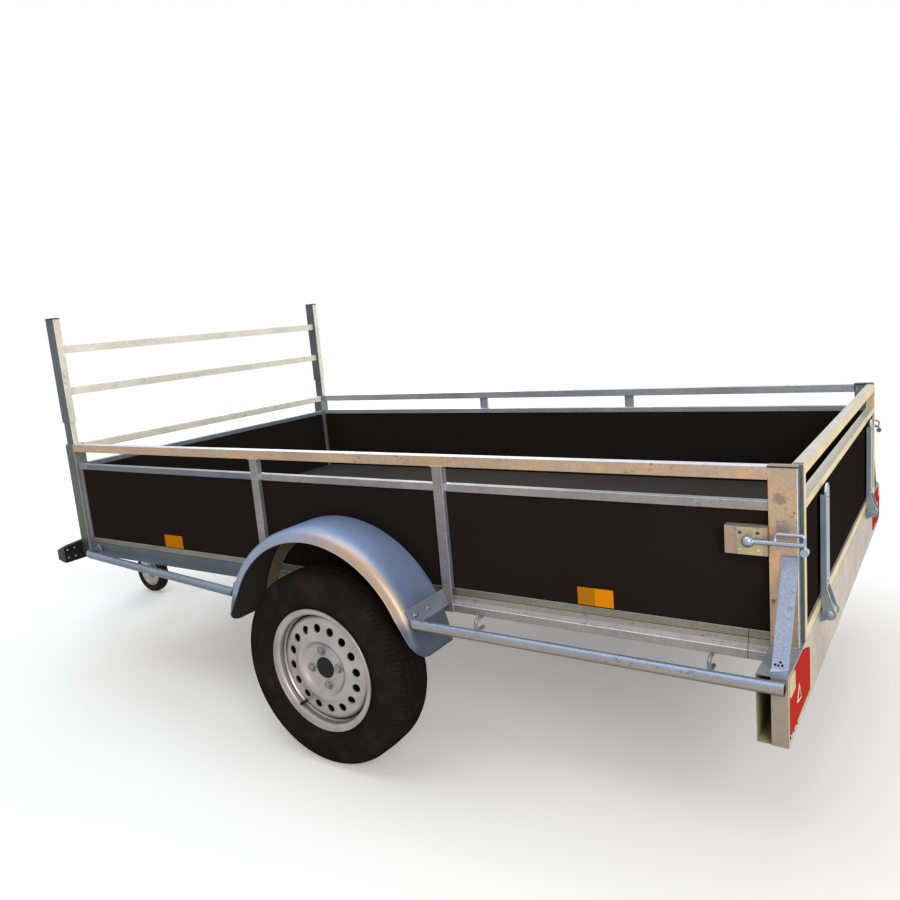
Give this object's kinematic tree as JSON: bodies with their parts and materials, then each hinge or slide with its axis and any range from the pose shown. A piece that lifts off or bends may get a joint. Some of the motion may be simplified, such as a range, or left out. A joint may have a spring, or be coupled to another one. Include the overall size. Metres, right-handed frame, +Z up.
{
  "type": "single axle utility trailer",
  "caption": "Box trailer with black plywood sides, galvanised frame, ladder rack, hinged tailgate, fenders and jockey wheel, towed by a ball coupling.",
  "frame": {"origin": "on the ground, in the middle of the trailer's length and width", "axes": "+X forward to the coupling, +Y to the left, +Z up"},
  "size_m": [3.76, 1.816, 1.355],
  "materials": {
    "galvanised": "hot dip galvanised, satin with a soft spangle",
    "cast_steel": "plain dark steel",
    "zinc_plated": "zinc plated, satin",
    "plywood": "plywood with a smooth near black film",
    "tyre_rubber": "matt black rubber",
    "castor_rubber": "matt black rubber",
    "wheel_silver": "silver paint, satin",
    "black_plastic": "matt black",
    "red_lens": "glossy red lens",
    "amber_lens": "glossy amber lens"
  },
  "bodies": {
    "chassis": {"sills": "galvanised", "cross_members": "galvanised", "drawbar": "galvanised", "drawbar_stays": "galvanised", "coupling_head": "galvanised", "coupling_handle": "black_plastic", "jockey_clamp": "galvanised", "jockey_outer": "galvanised", "jockey_crank": "galvanised", "floor_panel": "plywood", "side_panel_left": "plywood", "side_panel_right": "plywood", "front_panel": "plywood", "side_frame_left": "galvanised", "side_frame_right": "galvanised", "front_frame": "galvanised", "front_posts": "galvanised", "rear_posts": "galvanised", "ladder_stubs": "galvanised", "light_board": "galvanised", "board_braces": "galvanised", "tail_lamps": "red_lens", "side_reflectors": "amber_lens", "front_lamps": "black_plastic", "rope_hooks": "galvanised", "fender_left": "galvanised", "fender_right": "galvanised", "fender_brackets": "galvanised", "side_tubes": "galvanised", "axle_beam": "galvanised", "axle_arms": "cast_steel", "hinge_lugs": "galvanised", "latches": "zinc_plated"},
    "wheel_left": {"tyre_left": "tyre_rubber", "rim_left": "wheel_silver", "hub_left": "cast_steel"},
    "wheel_right": {"tyre_right": "tyre_rubber", "rim_right": "wheel_silver", "hub_right": "cast_steel"},
    "tailgate": {"tailgate_frame": "galvanised", "tailgate_panel": "plywood", "hinge_straps": "galvanised"},
    "ladder_rack": {"ladder_rack": "galvanised", "ladder_caps": "black_plastic"},
    "jockey_leg": {"jockey_inner": "galvanised"},
    "jockey_castor": {"jockey_fork": "galvanised"},
    "jockey_roller": {"jockey_wheel": "castor_rubber"}
  },
  "joints": [
    {"name": "wheel_left_spin", "type": "hinge", "parent": "chassis", "child": "wheel_left", "pos_m": [-0.612, 0.829, 0.287], "axis": [0, 1, 0], "continuous": true},
    {"name": "wheel_right_spin", "type": "hinge", "parent": "chassis", "child": "wheel_right", "pos_m": [-0.612, -0.829, 0.287], "axis": [0, 1, 0], "continuous": true},
    {"name": "tailgate_hinge", "type": "hinge", "parent": "chassis", "child": "tailgate", "pos_m": [-1.865, 0, 0.481], "axis": [0, -1, 0], "range_deg": [0, 180]},
    {"name": "ladder_slide", "type": "slide", "parent": "chassis", "child": "ladder_rack", "axis": [0, 0, 1], "range_m": [-0.08, 0.17]},
    {"name": "jockey_slide", "type": "slide", "parent": "chassis", "child": "jockey_leg", "axis": [0, 0, 1], "range_m": [0, 0.12]},
    {"name": "jockey_swivel", "type": "hinge", "parent": "jockey_leg", "child": "jockey_castor", "pos_m": [1.34, 0.072, 0.2], "axis": [0, 0, 1], "continuous": true},
    {"name": "jockey_spin", "type": "hinge", "parent": "jockey_castor", "child": "jockey_roller", "pos_m": [1.295, 0.072, 0.1], "axis": [0, 1, 0], "continuous": true}
  ]
}
